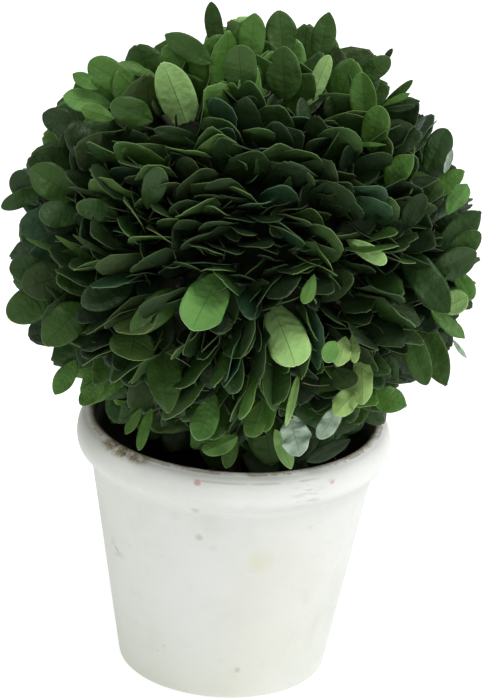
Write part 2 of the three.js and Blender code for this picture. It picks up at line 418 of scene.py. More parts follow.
def side_twig_ways(ways):
    """Each main twig bears side twigs in a ring round it. Their blades turn loosely, the more so
    near the outline and on the right. Returns their ways, blade normals and the numbers of their
    main twigs."""
    sprig = np.repeat(np.arange(len(ways)), SIDE_TWIGS)
    k = np.tile(np.arange(SIDE_TWIGS), len(ways))
    number = np.arange(len(sprig)) + SIDE_TWIG_NUMBERS
    main = ways[sprig]
    turn = 2 * math.pi * (k / SIDE_TWIGS + chance(sprig, 11)) + 0.5 * swing(number, 12)
    spread = SIDE_SPREAD * (1 + 0.35 * swing(number, 13))
    way = unit(main + spread[:, None] * turned(beside(main), main, turn))
    right, rise, _ = view_shares(way)
    loose = 0.7 + 0.4 * ease(np.hypot(right, rise), 0.4, 0.9)
    on_right = ease(right, 0.15, 0.5) * ease(rise, -0.3, 0.0)
    loose += 0.5 * on_right * (1 - ease(rise, 0.55, 0.75))
    roll = loose * (0.42 * swing(sprig, 14) + 0.36 * swing(number, 15))
    return way, turned(blade_normals(way), way, roll), sprig


class Leaves(namedtuple("Leaves", "root along face length width tone number")):
    """Arrays of one entry a leaf. The ways along it and out of its face are unit vectors."""

    def taken(self, keep):
        return Leaves(*(values[keep] for values in self))

    def joined(self, others):
        return Leaves(*map(np.concatenate, zip(self, others)))


# A leaf takes the first tone whose limit is above its draw, or else pale
TONE_LIMITS = {"deep": 0.24, "shade": 0.4, "mid": 0.62, "moss": 0.78, "fresh": 0.94, "lime": 1.1}


def leaf_tones(way, sprig, number, pair):
    """Tones are dealt out by spray: darker at the sides of the front, lighter on the lower front and a
    little lighter on the left. Painted shade darkens them in the middle of the front and on the inner
    pairs, and painted light from above lightens them at the top."""
    right, rise, _ = view_shares(way)
    middle = 1 - ease(np.hypot(right, rise), 0.3, 0.85)
    low = ease(-rise, 0.35, 0.75) * ease(right, -0.7, -0.2)
    top = ease(rise, 0.45, 0.9)
    side = ease(np.abs(right), 0.4, 0.8)
    # painted shade in the middle and on the inner pairs, painted light at the top
    place = 0.14 * low + 0.3 * top - 0.12 * middle - 0.16 * side * (1 - top) - 0.12 * pair - 0.05 * right
    draw = 0.55 * chance(sprig, 21) + 0.45 * chance(number, 22) + place
    names = np.select([draw < limit for limit in TONE_LIMITS.values()], list(TONE_LIMITS), "pale")
    hue = 0.6 * chance(sprig, 23) + 0.4 * chance(number, 24)
    names = np.where((hue < 0.22) & np.isin(names, ["shade", "mid"]), "teal", names)
    names = np.where((hue > 0.8) & np.isin(names, ["mid", "moss"]), "olive", names)
    return tone_numbers(names)


def grown_leaves():
    """Two opposite pairs of leaves on each side twig, spread in the plane of their blades. A
    leaf's root lies on its twig's line where its tip comes out at its own radius, and on the lower
    front it is combed away from the fan point. Towards the outline leaves are fewer and larger."""
    way, normal, sprig = side_twig_ways(sprig_ways())
    count = len(way)
    radius = surface_radius(way) + 2.4 * MM * swing(sprig, 16)
    twig = np.repeat(np.arange(count), 4)
    pair = np.tile([0, 0, 1, 1], count)
    side = np.tile([-1.0, 1.0, -1.0, 1.0], count)
    number = np.arange(4 * count) + LEAF_NUMBERS
    way, normal, sprig = way[twig], normal[twig], sprig[twig]
    angle = PAIR_ANGLES[pair] + 0.26 * swing(number, 31)
    tilt = 0.09 * side + (0.18 + 0.1 * pair) * swing(number, 32)
    sideways = np.cross(way, normal)
    along = way * np.cos(angle)[:, None] + sideways * (side * np.sin(angle))[:, None]
    along = unit(along + normal * tilt[:, None] + COMB * fan_weight(way)[:, None] * away_from_fan(way))
    face = turned(square_to(along, normal), along, 0.16 * side + 0.3 * swing(number, 33))
    face *= np.where(chance(number, 34) < TURNED_OVER, -1.0, 1.0)[:, None]
    right, rise, _ = view_shares(way)
    outer = ease(np.hypot(right, rise), 0.78, 0.95)
    length = LEAF_LENGTH * (1 + 0.2 * swing(number, 35) - 0.06 * pair + 0.12 * outer)
    width = LEAF_LENGTH * LEAF_RATIO * (1 + 0.24 * swing(number, 36) - 0.06 * pair + 0.2 * outer)
    tip_radius = radius[twig] + 2 * MM * swing(number, 37)
    tip_radius -= 4 * MM * chance(number, 38) ** 2 + PAIR_DEPTHS[pair]
    cosine = dot(along, way)[:, 0]
    reach = np.sqrt(tip_radius**2 - length**2 * (1 - cosine**2)) - length * cosine
    root = CENTRE + way * reach[:, None] + normal * (0.6 * MM * side)[:, None]
    leaves = Leaves(root, along, face, length, width, leaf_tones(way, sprig, number, pair), number)
    return leaves.taken(chance(number, 39) > THINNED * outer)


# The two sides of a leaf
UPPER, UNDER = 1.0, -1.0
# Leaves that stand out in the photograph. Each is given in the photograph's plane from the ball's
# middle, in millimetres: how far right and up its root and then its tip lie, its width, its tone,
# the side that it shows, and the radius that its tip lies at.
STAND_OUT = [
    (-8.4, 59.5, -12.8, 77.4, 5.4, "mid", UNDER, 78.3),
    (-17.4, 34.5, -26.2, 60.3, 11.3, "pale", UNDER, 73),
    (-42, 44.5, -58, 47.3, 7.5, "lime", UNDER, 74),
    (-33.2, 48.6, -49.3, 57.5, 9.4, "fresh", UPPER, 76),
    (-11, 57.7, -24.5, 66.1, 7.5, "moss", UPPER, 76),
    (0.6, 55.8, 1.3, 72.7, 8.2, "fresh", UPPER, 75),
    (11, 58.3, 10.7, 73.7, 9.4, "moss", UPPER, 75.5),
    (21.9, 57.7, 25.1, 73.4, 7.5, "moss", UPPER, 76),
    (11.6, 45.8, 10, 61.4, 11.3, "moss", UPPER, 73),
    (18.8, 43.3, 25.1, 61.1, 5.3, "pale", UNDER, 74),
    (37, 37, 35.4, 53.3, 8.5, "fresh", UPPER, 73),
    (38.2, 30.1, 40.8, 43.9, 8.8, "fresh", UPPER, 74),
    (42.9, 20.1, 50.5, 29.2, 7.5, "fresh", UPPER, 74),
    (34.2, 52.2, 43.9, 59.2, 6.6, "moss", UPPER, 76),
    (62.1, 10.7, 68.3, 21.3, 6.3, "lime", UNDER, 74),
    (61.1, 23.5, 64.3, 31, 2.2, "silver", UNDER, 75),
    (-52.7, 15.7, -66.8, 24.1, 10.7, "moss", UPPER, 74),
    (-62.6, 19.4, -76.2, 12.9, 5.5, "mid", UPPER, 77.5),
    (-40.1, 10, -52, 14.1, 6.9, "mid", UPPER, 73),
    (-31.3, 12.5, -28.2, 24.5, 7.5, "mid", UPPER, 73.5),
    (-8.5, -7.5, -18.5, -25.4, 13.2, "lime", UNDER, 74),
    (-21.9, -12.5, -33.2, -25.1, 8.8, "moss", UPPER, 73.5),
    (-26.6, -25.1, -26.3, -49.8, 10.7, "moss", UPPER, 71),
    (-34.5, -23.2, -37.6, -36.1, 13.8, "moss", UNDER, 72),
    (-33.2, -49.5, -37.9, -58.3, 3.1, "fresh", UNDER, 70),
    (-29.8, -49.5, -34.5, -62.1, 3.4, "fresh", UPPER, 71.5),
    (-53.3, -34.5, -60.2, -44.8, 6.3, "fresh", UPPER, 73),
    (-44.5, -40.1, -52.4, -49.2, 5.6, "fresh", UNDER, 71.5),
    (-10, -45.1, -16.3, -60.2, 8.2, "lime", UNDER, 68.5),
    (-3.1, -58.3, -14.1, -63.9, 6.3, "fresh", UNDER, 68.5),
    (-3.8, -57.1, -7.5, -68.3, 5, "moss", UNDER, 69),
    (-50.8, -17.2, -62.4, -28.2, 11.3, "moss", UPPER, 74.5),
    (6.6, -15.7, 17.9, -39.6, 12.2, "pale", UNDER, 74.5),
    (20.7, -7.8, 17.2, -18.5, 4.1, "fresh", UNDER, 73.5),
    (30.7, 2.8, 44.2, -4.4, 5, "pale", UNDER, 74),
    (59.6, -19.1, 69, -14.4, 7.5, "pale", UNDER, 72),
    (52.4, -20.1, 62.4, -41.7, 9, "moss", UPPER, 73.5),
    (47.6, 0.6, 62.4, -18.5, 10, "mid", UPPER, 75),
    (27.3, -28.8, 23.2, -35.7, 5, "lime", UNDER, 73),
    (30.4, -27.2, 28.2, -37.9, 5.8, "straw", UNDER, 73.5),
    (32.6, -26.3, 34.2, -37, 3.4, "straw", UNDER, 74),
    (27, -37.3, 32.6, -43.5, 7.5, "shade", UNDER, 72),
    (34.6, -29, 37.2, -48.6, 6.4, "straw", UNDER, 73),
    (36.8, -41.4, 24.6, -52.6, 6.9, "straw", UNDER, 70),
    (32, -59.2, 19.4, -65.8, 5, "deep", UPPER, 69),
    (12.5, -51.4, 17.2, -64.3, 9.4, "silver", UNDER, 69),
    (29.2, -48, 22.3, -59.9, 5.6, "silver", UNDER, 69.5),
    (8.5, -56.1, 14.4, -69, 5, "pale", UNDER, 70.5),
    (4.7, -47, 0.9, -59.2, 6.6, "fresh", UNDER, 70),
    (16, -38.2, 12.2, -54.5, 2.5, "pale", UPPER, 71),
    (38.2, -45.1, 49.2, -48.3, 8.2, "fresh", UPPER, 72),
    (41.4, 43.9, 51.5, 51.9, 2.8, "moss", UPPER, 76),
    (41.4, 43.9, 53, 46, 2.8, "mid", UPPER, 76),
    (42, 44.5, 49.8, 48.6, 2.2, "fresh", UPPER, 76.5),
    (42, 43.3, 51.7, 43.6, 1.9, "shade", UPPER, 76),
    (63.9, -28.2, 67.7, -34.2, 1.6, "silver", UPPER, 73),
    (41.8, 57.4, 44.8, 62.4, 1.9, "deep", UPPER, 77.5),
    (-51, 10.3, -63.9, 11.3, 7.8, "mid", UPPER, 74),
    (-65, 13.5, -73, 22.9, 8, "shade", UPPER, 76.5),
    (-62, -5.3, -73.4, -6.9, 8.5, "mid", UPPER, 75.5),
    (-54.2, -6.9, -69.9, -13.2, 12, "shade", UNDER, 75),
    (-61, -12, -73, -22, 11.2, "moss", UPPER, 76),
    (-35.4, -10, -51.1, -16.3, 9.4, "shade", UPPER, 74),
    (-43.3, -6.3, -62.1, 5, 1.9, "moss", UNDER, 75),
    (-46.4, -4.4, -71.5, 2.5, 1.9, "moss", UNDER, 76),
    (-38.6, -4.4, -55.8, 3.8, 1.6, "shade", UNDER, 75),
    (55.5, 23.8, 62.4, 37, 8, "mid", UPPER, 74.5),
    (56.4, 16.6, 66.5, 23.8, 6, "fresh", UPPER, 74),
    (49.2, 6.3, 54.5, 18.8, 6.6, "deep", UNDER, 74),
    (58.6, -0.6, 72.1, 10.3, 8, "mid", UPPER, 75),
    (60, -4.4, 72.7, 4, 7, "moss", UPPER, 75),
    (29.8, 32.6, 42, 32.6, 1.4, "fresh", UPPER, 74.5),
    (57, -18.8, 67, -27.3, 5, "fresh", UPPER, 74),
    (-29.5, 39.8, -41.1, 45.1, 8.4, "moss", UPPER, 74.5),
    (-14.4, 33.2, -28.2, 36.9, 5, "shade", UPPER, 72),
    (-41.4, 40.5, -53, 44, 5.4, "fresh", UNDER, 75),
    (-46.4, 49.8, -54.6, 55, 4.6, "lime", UNDER, 77.5),
    (-0.8, 47.4, -4, 62.2, 10, "moss", UPPER, 79),
    (-53, 37, -63.3, 42.6, 8, "shade", UPPER, 76.5),
    (48.3, -23.2, 56.1, -40.8, 8, "moss", UPPER, 73),
    (55.5, -8.2, 71, -2.6, 9.2, "mid", UPPER, 74.5),
    (64, -6, 70.6, -14.6, 5.4, "fresh", UPPER, 73.5),
]


# The share of a leaf that stands out which its neighbours may cover, from its root: less for the
# lighter tones
COVERED = 0.48
COVERED_LIGHT = 0.2
# How much deeper its root lies than its tip, as a share of its length
ROOT_DEPTH = 0.9
CENTRE_DISTANCE = (CAMERA_PLACE - CENTRE) @ VIEWWARD


def seen_from_camera(points):
    """Where points appear in the plane through the ball's middle, from that middle (right, up),
    and how far they stand towards the viewer from that plane."""
    ray = points - CAMERA_PLACE
    away = -ray @ VIEWWARD
    flat = np.stack([ray @ RIGHT, ray @ SKYWARD], -1) * (CENTRE_DISTANCE / away)[..., None]
    middle = CENTRE - CAMERA_PLACE
    return flat - [middle @ RIGHT, middle @ SKYWARD], CENTRE_DISTANCE - away


def placed_in_view(flat, depth):
    """The points that appear at a place in that plane and stand a depth in front of it."""
    on_plane = CENTRE + flat[:, :1] * RIGHT + flat[:, 1:] * SKYWARD
    return CAMERA_PLACE + (on_plane - CAMERA_PLACE) * (1 - depth / CENTRE_DISTANCE)[:, None]


def stand_out_leaves():
    """A leaf's tip lies on a sphere about the ball's middle. Its root lies at its place in the view
    too, deeper by a share of the leaf's length that is least at the outline, so that its
    neighbours cover it. The shown side faces the viewer."""
    roll = np.array([[math.cos(ROLL), math.sin(ROLL)], [-math.sin(ROLL), math.cos(ROLL)]])
    *places, width, tone, shown, radius = map(np.array, zip(*STAND_OUT))
    root, tip = (np.stack(pair, -1) @ roll * MM for pair in (places[:2], places[2:]))
    width, radius = width * MM, radius * MM
    tip_depth = np.sqrt(np.maximum(radius**2 - 0.9 * (tip**2).sum(-1), 0))
    root_depth = tip_depth - ROOT_DEPTH * np.linalg.norm(tip - root, axis=-1) * tip_depth / radius
    start, end = placed_in_view(root, root_depth), placed_in_view(tip, tip_depth)
    along = unit(end - start)
    number = np.arange(len(STAND_OUT)) + STAND_OUT_NUMBERS
    face = turned(square_to(along, VIEWWARD[None]), along, 0.3 * swing(number, 41)) * shown[:, None]
    length = np.linalg.norm(end - start, axis=-1)
    return Leaves(start, along, face, length, width, tone_numbers(tone), number)


def clear_of_stand_outs(leaves, stand_outs):
    """False for a leaf that covers the outer part of one that stands out: any of nine of its
    points appears along and across that blade within it, and no deeper than it."""
    root, root_depth = seen_from_camera(stand_outs.root)
    tip, tip_depth = seen_from_camera(stand_outs.root + stand_outs.along * stand_outs.length[:, None])
    line = tip - root
    size = np.linalg.norm(line, axis=-1)
    across = np.cross(leaves.face, leaves.along)
    covered = np.where(np.isin(stand_outs.tone, LIGHT_TONES), COVERED_LIGHT, COVERED)
    keep = np.ones(len(leaves.length), bool)
    for share in (0.35, 0.7, 1.0):
        for side in (-0.4, 0.0, 0.4):
            point = leaves.along * (share * leaves.length)[:, None] + across * (side * leaves.width)[:, None]
            flat, depth = seen_from_camera(leaves.root + point)
            off = flat[:, None] - root
            forward = (off * line).sum(-1) / size**2
            aside = np.abs(np.cross(off, line)) / size / (0.5 * stand_outs.width)
            blade_depth = root_depth + forward * (tip_depth - root_depth)
            over = depth[:, None] > blade_depth - 0.5 * MM
            keep &= ~((forward > covered) & (forward < 1.02) & (aside < 0.95) & over).any(1)
    return keep


def clear_of_pot(points):
    """True for leaves or twigs, given by their points, that miss the pot and its filling."""
    out, height = np.hypot(points[..., 0], points[..., 1]) / MM, points[..., 2] / MM
    lip = POT_HEIGHT - LIP_DROP
    lean = (RIM_INNER_RADIUS - INNER_FOOT_RADIUS) / (lip - FLOOR_THICKNESS)
    in_rim = (height < POT_HEIGHT + 0.7) & (out > RIM_INNER_RADIUS - 0.9)
    in_wall = (height < lip) & (out > RIM_INNER_RADIUS - lean * (lip - height) - 0.8)
    in_fill = height < FILL_TOP + 1.6
    return ~(in_rim | in_wall | in_fill).any((1, 2))


# The leaves: their meshes. Shares of the length for the rings, and of the half width across them.
# A leaf that stands out gets finer ones, which carry its side veins.
LEAF_ROWS = np.array([0, 0.09, 0.28, 0.5, 0.7, 0.86, 0.96, 1.0])
FINE_ROWS = np.concatenate([[0, 0.02, 0.05, 0.09], np.linspace(0.13, 0.93, 41), [0.955, 0.975, 0.99, 1.0]])
LEAF_SECTION = (np.array([-1, -0.55, -0.035, 0.035, 0.55, 1.0]), np.array([1.0, 0.0, -1.0]))
FINE_COLUMNS = np.array([-1, -0.8, -0.55, -0.3, -0.025, 0.025, 0.3, 0.55, 0.8, 1.0])
FINE_SECTION = (FINE_COLUMNS, FINE_COLUMNS[::-1])
SIDE_VEINS = 8
WIDEST = 0.57


def inner_leaves():
    """Short dark leaves deep in the ball, on a golden spiral of their own, that lean at all angles
    and close the partings between the sprays. Their dark tones are painted shade."""
    i = np.arange(INNER_LEAVES)
    number = i + INNER_LEAF_NUMBERS
    way = way_at(i * GOLDEN_ANGLE, 1 - (2 * i + 1) / INNER_LEAVES)
    lean = np.stack([swing(number, 71), swing(number, 72), swing(number, 73)], -1)
    along = unit(way + 0.8 * square_to(way, lean))
    face = turned(square_to(along, way), along, 1.4 * swing(number, 74))
    length = (15 + 4 * swing(number, 75)) * MM
    tip = CENTRE + way * (INNER_REACH + 3 * MM * swing(number, 76))[:, None]
    # only the darkest tones: painted shade deep in the ball
    tone = tone_numbers(np.where(chance(number, 77) < 0.6, "deep", "shade"))
    return Leaves(tip - along * length[:, None], along, face, length, length * 0.5, tone, number)


def half_width(share, number):
    """An oval that is widest past the middle: a flattened arc to a narrow root on one side, and an
    arc to a blunt or a more pointed tip on the other, as drawn for the leaf."""
    widest = WIDEST + 0.07 * swing(number, 58)
    blunt = 0.52 + 0.4 * chance(number, 59) ** 2
    rise = np.maximum(1 - (np.clip(widest - share, 0, 1) / widest) ** 2.2, 0) ** 0.8
    fall = np.maximum(1 - (np.clip(share - widest, 0, 1) / (1 - widest)) ** 2.2, 0) ** blunt
    return np.where(share < widest, np.maximum(rise, 0.07), np.maximum(fall, 0.13))


def leaf_points(leaves, rows=LEAF_ROWS, section=LEAF_SECTION):
    """Rings of points across each leaf, over the upper side and back under it. The blade curls
    towards its underside along its length, its edges droop, it folds a little at the midrib, twists
    towards the tip, waves at its edges and bends sideways, each by an amount drawn for the leaf,
    and the tip is slightly notched. Straw-coloured and silver leaves are dry and wave more. On fine
    rings the side veins are a ripple that runs outwards and towards the tip, higher on the lighter
    tones, and the midrib is a groove."""
    columns, under_columns = section
    s = rows[:, None]
    t = np.concatenate([columns, under_columns])
    below = np.arange(len(t)) >= len(columns)
    fine = len(rows) > len(LEAF_ROWS)
    root, along, face, length, width, tone, n = (values[:, None, None] for values in leaves)
    dry = np.isin(tone, DRY_TONES)
    half = width / 2 * half_width(s, n)
    curl = (0.05 + 0.11 * swing(n, 51) + 0.1 * fine) * length
    cup = 0.14 + 0.2 * swing(n, 52)
    fold = 0.06 + (0.08 + 0.2 * fine) * chance(n, 53)
    bend = 0.06 * swing(n, 54) * length
    twist = 0.4 * swing(n, 60)
    wave = np.where(dry, 0.18, 0.12) * (0.3 + 0.7 * chance(n, 55)) * width
    wave = wave * np.sin(np.where(dry, 18, 9) * s + 6 * chance(n, 56) + 1.5 * np.sign(t))
    notch = np.where((s == 1) & (np.abs(t) < 0.1), 0.012, 0.0)
    forward = length * (s - notch)
    sideways = t * half + bend * s**2
    rise = -curl * s**2 - cup * half * t**2 + fold * half * np.abs(t) + twist * half * t * s
    rise += wave * t**2 * np.sin(math.pi * s)
    if fine:
        vein = np.cos(2 * math.pi * (SIDE_VEINS * s - 1.6 * np.abs(t)))
        height = np.where(np.isin(tone, LIGHT_TONES), 0.024, 0.016) * width
        rise += height * vein * np.sin(math.pi * np.abs(t)) * np.sin(math.pi * s)
        rise -= 0.03 * width * np.exp(-((t / 0.08) ** 2)) * (1 - s)
    rise += np.where(below, -0.5, 0.5) * LEAF_THICKNESS * np.where(np.abs(t) > 0.9, 0.8, 1)
    across = np.cross(face, along)
    return root + forward[..., None] * along + sideways[..., None] * across + rise[..., None] * face


# A leaf's material slots, in the order of LEAF_SURFACES
UPPER_SLOT, UNDER_SLOT, EDGE_SLOT, MIDRIB_SLOT = range(4)
# How often leaves that cross the pot are made smaller
SHRINK_STEPS = 4


def leaf_mesh(leaves, rows, section):
    """Points, faces and material slots. The edges' slot takes the ends too."""
    points = leaf_points(leaves, rows, section)
    count, rings, around, _ = points.shape
    sides, starts, ends = tube_faces(count, rings, around)
    upper, under = (len(columns) for columns in section)
    ring_slots = np.repeat([UPPER_SLOT, EDGE_SLOT, UNDER_SLOT, EDGE_SLOT], [upper - 1, 1, under - 1, 1])
    ring_slots[upper // 2 - 1] = MIDRIB_SLOT
    if under % 2 == 0:
        ring_slots[upper + under // 2 - 1] = MIDRIB_SLOT
    slots = np.concatenate([np.tile(ring_slots, count * (rings - 1)), np.full(2 * count, EDGE_SLOT)])
    return points.reshape(-1, 3), sides.tolist() + starts.tolist() + ends.tolist(), slots


def add_leaves(tone, leaves, stand_outs):
    points, faces, slots = leaf_mesh(leaves, LEAF_ROWS, LEAF_SECTION)
    fine_points, fine_faces, fine_slots = leaf_mesh(stand_outs, FINE_ROWS, FINE_SECTION)
    faces += [[corner + len(points) for corner in face] for face in fine_faces]
    points, slots = np.concatenate([points, fine_points]), np.concatenate([slots, fine_slots])
    add_piece(f"leaves_{tone}", "leaf_ball", points, faces, tone_materials(tone), slots, slots != EDGE_SLOT)


def make_leaves():
    """All leaves, a piece for each tone. Those that would cross the pot are made smaller in a few
    steps, and left out where that isn't enough."""
    stand_outs = stand_out_leaves()
    leaves = grown_leaves().joined(inner_leaves())
    leaves = leaves.taken(clear_of_stand_outs(leaves, stand_outs))
    for _ in range(SHRINK_STEPS):
        crossing = ~clear_of_pot(leaf_points(leaves))
        leaves.length[crossing] *= 0.88
        leaves.width[crossing] *= 0.93
    leaves = leaves.taken(clear_of_pot(leaf_points(leaves)))
    for index, tone in enumerate(TONE_NAMES):
        add_leaves(tone, leaves.taken(leaves.tone == index), stand_outs.taken(stand_outs.tone == index))


# Twigs and the ball's inside


def tapered_tubes(starts, ends, radius, thin, around, rings=4, wander=0.0, numbers=0):
    """Straight tubes between points that taper and wander sideways: tube, ring, place around, xyz."""
    way = unit(ends - starts)
    east = beside(way)
    north = np.cross(way, east)
    s = np.linspace(0, 1, rings)[:, None]
    n = np.arange(len(starts))[:, None, None] + numbers
    line = starts[:, None] + (ends - starts)[:, None] * s
    line += east[:, None] * wander * np.sin(3 * s + 6 * chance(n, 61)) * s
    line += north[:, None] * wander * np.sin(4 * s + 6 * chance(n, 62)) * s
    turn = circle(around)[:, None]
    round_it = east[:, None] * np.cos(turn) + north[:, None] * np.sin(turn)
    thick = radius + (thin - radius) * s
    return line[:, :, None] + thick[..., None] * round_it[:, None]


def over_core(ways, height):
    """Points on ways from the ball's middle, at a height in millimetres over its inside."""
    return CENTRE + ways * (CORE_RADIUS + height * MM)


def dry_stalks(side_ways):
    """Thin stalks, one to every few side twigs, that wander out between the leaves."""
    ends = unit(side_ways + 0.14 * square_to(side_ways, np.roll(side_ways, 7, axis=0)))[1::STALK_STEP]
    starts = over_core(side_ways[1::STALK_STEP], 7)
    ends = CENTRE + ends * (surface_radius(ends) - 12 * MM)[:, None]
    return tapered_tubes(starts, ends, 0.25 * MM, 0.14 * MM, 5, 7, 1.6 * MM, STALK_NUMBERS)


def make_twigs():
    """Main twigs and side twigs out of the ball's inside, and dry stalks."""
    ways = sprig_ways()
    side_ways, _, sprig = side_twig_ways(ways)
    starts, ends = over_core(ways[sprig], -4), over_core(side_ways, 8)
    tubes = {
        "twigs_dry": dry_stalks(side_ways),
        "twigs_main": tapered_tubes(over_core(ways, -6), over_core(ways, 5), 1.1 * MM, 0.7 * MM, 6),
        "twigs_side": tapered_tubes(starts, ends, 0.6 * MM, 0.35 * MM, 6, wander=0.5 * MM),
    }
    bark = plain_material("twig_bark", (44, 45, 30), 0.8, (900, 0.5, 0.3 * MM))
    dry = plain_material("dry_stalk", (92, 100, 72), 0.7, (900, 0.4, 0.2 * MM))
    for name, points in tubes.items():
        add_tubes(name, "leaf_ball", points[clear_of_pot(points)], dry if name == "twigs_dry" else bark)


def make_core():
    """The inside of the ball: a sphere on a grid of angles, made lumpy by a sum of sines. Its
    dark colour is painted shade, which shows in the gaps between the sprays.
    """
    # a dark colour: painted shade for the gaps between the sprays
    material = plain_material("ball_inside", (34, 40, 28), 1.0, (250, 1.0, 1.5 * MM), 0.05)
    rings, around = 40, 80
    tilt = np.linspace(0.04, math.pi - 0.04, rings)[None, :, None]
    way = way_at(circle(around), -np.cos(tilt))
    x, y, z = np.moveaxis(way, -1, 0)
    lumps = np.sin(9 * x + 4 * y) * np.sin(8 * z + 1) + 0.5 * np.sin(23 * y + 17 * z)
    radius = CORE_RADIUS - 1.5 * MM + 0.8 * MM * lumps
    add_tubes("ball_inside", "leaf_ball", CENTRE + way * radius[..., None], material)


# The stem and the filling


def make_stem():
    """A limb of rings with bark ridges: the solid's flare and taper, with long plates that wander
    round it laid inside them as a sum of sines."""
    grain = (260, 0.8, 0.8 * MM, 6.0)
    bark = mottled_material("stem_bark", [(52, 42, 30), (128, 110, 84)], (0.0, 1.0), 0.9, grain)
    low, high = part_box("stem")
    rings, around = 90, 72
    s = np.linspace(0, 1, rings)[None, :, None]
    turn = circle(around)
    flare = np.exp(-9 * s) * (3.6 + 1.4 * np.cos(5 * turn + 0.6)) * MM
    plates = np.sin(11 * turn + 3 * np.sin(7 * s)) * np.sin(26 * s + 2 * np.sin(3 * turn))
    plates += 0.6 * np.sin(23 * turn + 40 * s)
    radius = (5 - 1.6 * s) * MM + flare - 0.35 * MM + 0.22 * MM * plates
    lean = 2.4 * MM
    x = lean * np.sin(2.2 * s) + radius * np.cos(turn)
    y = 0.4 * lean * np.sin(3.1 * s) + radius * np.sin(turn)
    points = grid(x, y, low[2] + s * (high[2] - low[2]))
    add_tubes("stem_bark_relief", "stem", points, bark)


def filling_material():
    grain = (350, 1.0, 2.0 * MM, 8.0)
    return mottled_material("filling_crumbs", [(12, 11, 9), (50, 42, 30)], (0.35, 0.75), 1.0, grain, 0.1)


# The pot


def curve(start, bend, end, steps):
    """Points along a quadratic curve to an end, without its start."""
    s = np.linspace(0, 1, steps)[1:, None]
    start, bend, end = map(np.array, (start, bend, end))
    return (1 - s) ** 2 * start + 2 * s * (1 - s) * bend + s**2 * end


def pot_outline():
    """Radius and height along the pot's section: out under the foot, which is hollowed a little, up
    the straight wall, round the rim band, down the inner wall and in over the floor."""
    foot, neck, rim = FOOT_RADIUS, NECK_RADIUS, RIM_RADIUS
    inner, heel = RIM_INNER_RADIUS, INNER_FOOT_RADIUS
    top, band, floor = POT_HEIGHT, POT_HEIGHT - BAND_HEIGHT, FLOOR_THICKNESS
    widest = (rim, band + BAND_BULGE)
    lip = (inner, top - LIP_DROP)
    parts = [
        [(0, 0.3), (12, 0.3), (24, 0.3), (foot - 4.5, 0.25), (foot - 3.5, 0), (foot - 2.4, 0)],
        curve((foot - 2.4, 0), (foot - 0.2, 0), (foot, 1.8), 7),
        np.linspace((foot, 1.8), (neck, band - 1.2), 40)[1:],
        curve((neck, band - 1.2), (neck + 0.6, band + 0.3), (rim - 2.2, band + 1.6), 9),
        curve((rim - 2.2, band + 1.6), (rim, band + 2.8), widest, 10),
        curve(widest, (rim, top - 2.2), (rim - 2.6, top - 1), 12),
        curve((rim - 2.6, top - 1), (inner + 1.6, top + 0.7), lip, 12),
        np.linspace(lip, (heel, floor + 1.6), 24)[1:],
        curve((heel, floor + 1.6), (heel - 0.1, floor + 0.1), (heel - 1.7, floor), 5),
        [(14, floor), (0, floor)],
    ]
    return np.concatenate(parts) * MM


def make_pot():
    """The section turned round the axis. The pot is a little out of true: slow waves round it and
    up it narrow it by up to half a hundredth, but for the middle of its floor."""
    outline = pot_outline()
    turn = circle(POT_SIDES)
    radius, height = outline[:, :1], outline[:, 1:]
    waves = np.sin(2 * turn + 0.7) + 0.5 * np.sin(5 * turn + 40 * height)
    waves += 0.4 * np.sin(9 * turn - 95 * height + 1)
    radius = radius * (1 - 0.0022 * (1 + 0.45 * waves) * (radius > 20 * MM))
    points = grid(radius * np.cos(turn), radius * np.sin(turn), height)
    faces = tube_faces(1, len(outline), POT_SIDES)[0].tolist()
    add_piece("clay_pot", "pot", points, faces, [clay_material()], [0] * len(faces), [True] * len(faces))


class Field:
    """A value that varies over a surface, as a node puts it out. Further nodes make its sums,
    differences and products with numbers or other fields."""

    def __init__(self, tree, output):
        self.tree, self.output = tree, output

    def maths(self, operation, *others):
        values = [v.output if isinstance(v, Field) else v for v in (self, *others)]
        node = add_node(self.tree, "Math", dict(enumerate(values)), operation=operation)
        return Field(self.tree, node.outputs[0])

    def __add__(self, other):
        return self.maths("ADD", other)

    def __sub__(self, other):
        return self.maths("SUBTRACT", other)

    def __mul__(self, other):
        return self.maths("MULTIPLY", other)

    def rising(self, low, high, start=0.0, end=1.0):
        """The start up to the low value, the end from the high one on, and smooth between them."""
        inputs = {"Value": self.output, "From Min": low, "From Max": high, "To Min": start, "To Max": end}
        node = add_node(self.tree, "MapRange", inputs, interpolation_type="SMOOTHSTEP")
        return Field(self.tree, node.outputs["Result"])

    def falling(self, low, high):
        return self.rising(low, high, 1.0, 0.0)

    def at_level(self, level, low, high):
        """1 within the low distance from a level, and 0 beyond the high one."""
        return (self - level).maths("ABSOLUTE").falling(low, high)


